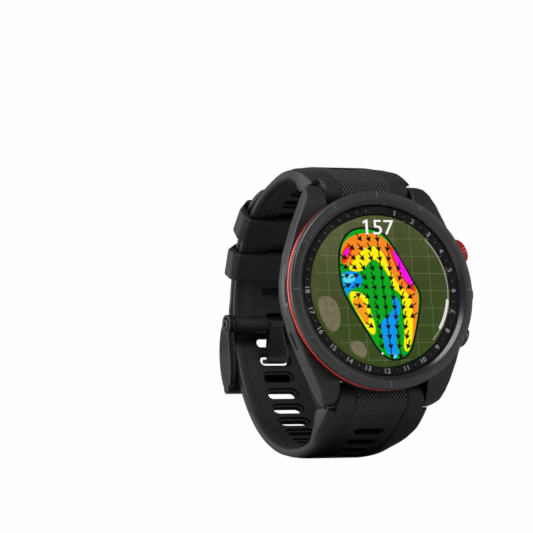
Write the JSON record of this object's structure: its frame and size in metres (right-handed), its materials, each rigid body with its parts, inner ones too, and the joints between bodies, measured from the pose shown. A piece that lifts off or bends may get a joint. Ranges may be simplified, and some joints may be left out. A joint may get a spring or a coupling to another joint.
{
  "type": "golf gps watch",
  "caption": "Round sports watch for golf with a lit course map, side push buttons, a rear optical sensor, and a buckled silicone strap.",
  "frame": {"origin": "centre of the wrist-side flat face of the sensor window on the back of the case", "axes": "+X towards 3 o'clock and the buttons, +Y into the wrist so the dial faces -Y, +Z towards 12 o'clock"},
  "size_m": [0.0498, 0.068, 0.0692],
  "materials": {
    "case_polymer": "glass-filled polymer, fine matt grain",
    "bezel_metal": "satin dark grey coated ceramic-look ring",
    "red_anodised": "bright red anodised",
    "glass": "clear, anti-reflective",
    "ring_print": "black printed number ring",
    "screen": "lit colour display",
    "strap_silicone": "soft matt silicone with a fine diagonal mesh",
    "seal_rubber": "seal rubber",
    "steel": "brushed",
    "dark_metal": "dark grey coated metal",
    "gold": "gold plated",
    "board": "green solder mask",
    "cell": "foil-wrapped cell",
    "black_gloss": "polished black window",
    "cover_polymer": "fine matt black",
    "led_green": "lit green",
    "diode_grey": "grey sensor face"
  },
  "bodies": {
    "case": {"case_body": "case_polymer", "bezel": "bezel_metal", "accent_ring": "red_anodised", "lens": "glass", "number_ring": "ring_print", "display_panel": "screen", "lens_gasket": "seal_rubber", "chassis": "dark_metal", "main_board": "board", "processor_shield": "steel", "radio_shield": "steel", "battery": "cell", "vibration_motor": "steel", "buzzer": "steel", "gps_antenna": "gold", "sensor_board": "board", "rear_cover": "cover_polymer", "rear_gasket": "seal_rubber", "sensor_collar": "dark_metal", "sensor_window": "black_gloss", "led_upper": "led_green", "led_lower": "led_green", "photodiode_1": "diode_grey", "photodiode_2": "diode_grey", "photodiode_3": "diode_grey", "photodiode_4": "diode_grey", "contact_block": "cover_polymer", "contact_pin_1": "gold", "contact_pin_2": "gold", "contact_pin_3": "gold", "contact_pin_4": "gold", "spring_bar_upper": "steel", "button_top_seal": "seal_rubber", "button_top_switch": "steel", "button_mid_seal": "seal_rubber", "button_mid_switch": "steel", "button_low_seal": "seal_rubber", "button_low_switch": "steel"},
    "button_top_body": {"button_top": "red_anodised", "button_top_cap": "cover_polymer"},
    "button_mid_body": {"button_mid": "dark_metal", "button_mid_cap": "cover_polymer"},
    "button_low_body": {"button_low": "dark_metal", "button_low_cap": "cover_polymer"},
    "band": {"upper_strap": "strap_silicone", "lower_strap": "strap_silicone", "spring_bar_lower": "steel", "buckle_pin": "steel", "keeper_fixed": "strap_silicone"},
    "latch_up": {"latch_upper": "cover_polymer"},
    "latch_low": {"latch_lower": "cover_polymer"},
    "buckle": {"buckle_frame": "dark_metal"},
    "tongue": {"buckle_tongue": "dark_metal"},
    "keeper": {"keeper_free": "strap_silicone"}
  },
  "joints": [
    {"name": "button_top_press", "type": "slide", "parent": "case", "child": "button_top_body", "axis": [-0.9171, 0, -0.3987], "range_m": [0, 0.0006]},
    {"name": "button_mid_press", "type": "slide", "parent": "case", "child": "button_mid_body", "axis": [-1, 0, 0], "range_m": [0, 0.0006]},
    {"name": "button_low_press", "type": "slide", "parent": "case", "child": "button_low_body", "axis": [-0.9171, 0, 0.3987], "range_m": [0, 0.0006]},
    {"name": "band_swing", "type": "hinge", "parent": "case", "child": "band", "pos_m": [0, -0.005, 0.0242], "axis": [1, 0, 0], "range_deg": [0, 25]},
    {"name": "buckle_lift", "type": "hinge", "parent": "band", "child": "buckle", "pos_m": [0, 0.04834, 0.0026], "axis": [1, 0, 0], "range_deg": [0, 60]},
    {"name": "tongue_swing", "type": "hinge", "parent": "band", "child": "tongue", "pos_m": [0, 0.04834, 0.0026], "axis": [-1, 0, 0], "range_deg": [0, 50]},
    {"name": "keeper_travel", "type": "hinge", "parent": "band", "child": "keeper", "pos_m": [0, 0.016, 0], "axis": [1, 0, 0], "range_deg": [-4, 10]},
    {"name": "latch_upper_slide", "type": "slide", "parent": "band", "child": "latch_up", "axis": [0, 0.682, 0.7314], "range_m": [0, 0.001]},
    {"name": "latch_lower_slide", "type": "slide", "parent": "band", "child": "latch_low", "axis": [0, 0.682, -0.7314], "range_m": [0, 0.001]}
  ]
}
